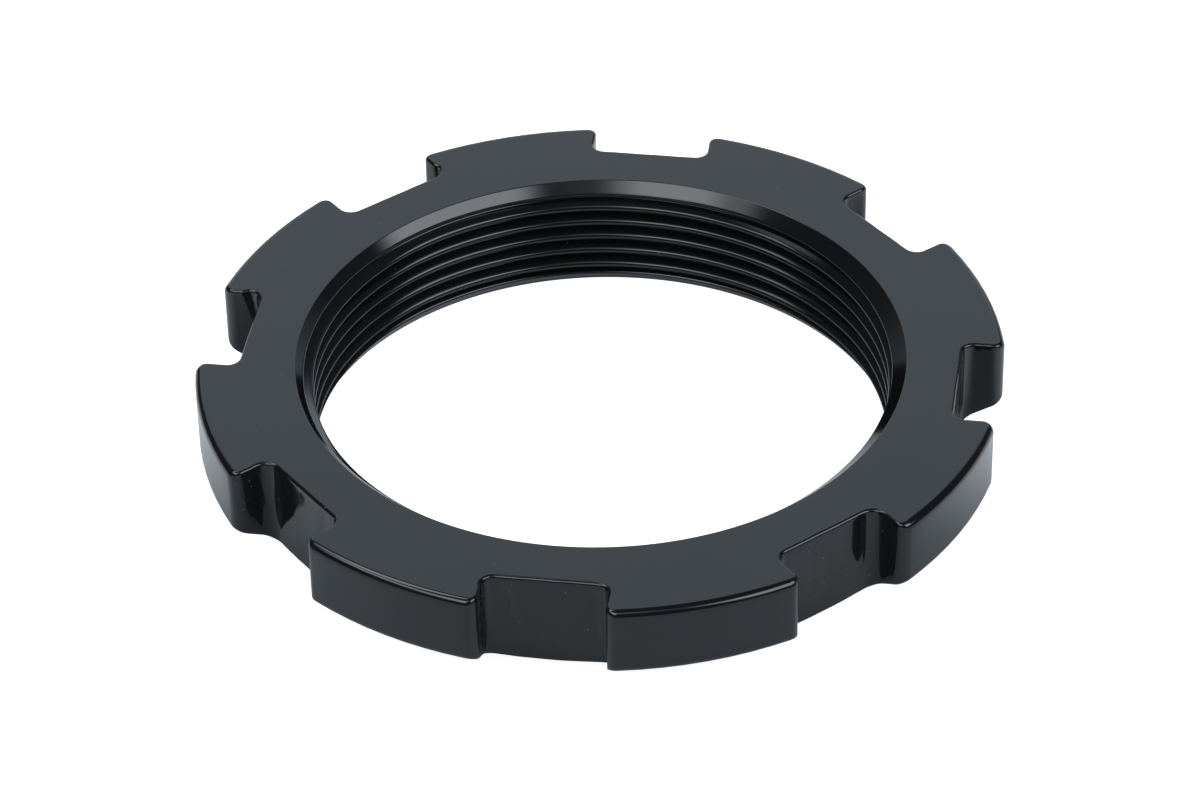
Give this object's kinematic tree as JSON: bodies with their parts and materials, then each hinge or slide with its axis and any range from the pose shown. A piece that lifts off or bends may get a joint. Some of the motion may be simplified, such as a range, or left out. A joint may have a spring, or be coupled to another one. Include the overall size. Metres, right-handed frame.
{
  "type": "lock ring",
  "caption": "Flat ring nut with a fine internal thread, square spanner notches round its rim and a bevelled underside, black-coated steel.",
  "frame": {"origin": "on the ring's axis, in the plane of the narrow seat that the ring is tightened against", "axes": "+Z along the ring's axis, from the seat to the flat top face; a notch is centred on +X and on +Y"},
  "size_m": [0.0442, 0.0442, 0.0068],
  "materials": {
    "black_steel": "smooth semi-gloss black coating over machined steel"
  },
  "bodies": {
    "root": {"lock_ring": "black_steel"}
  },
  "joints": []
}
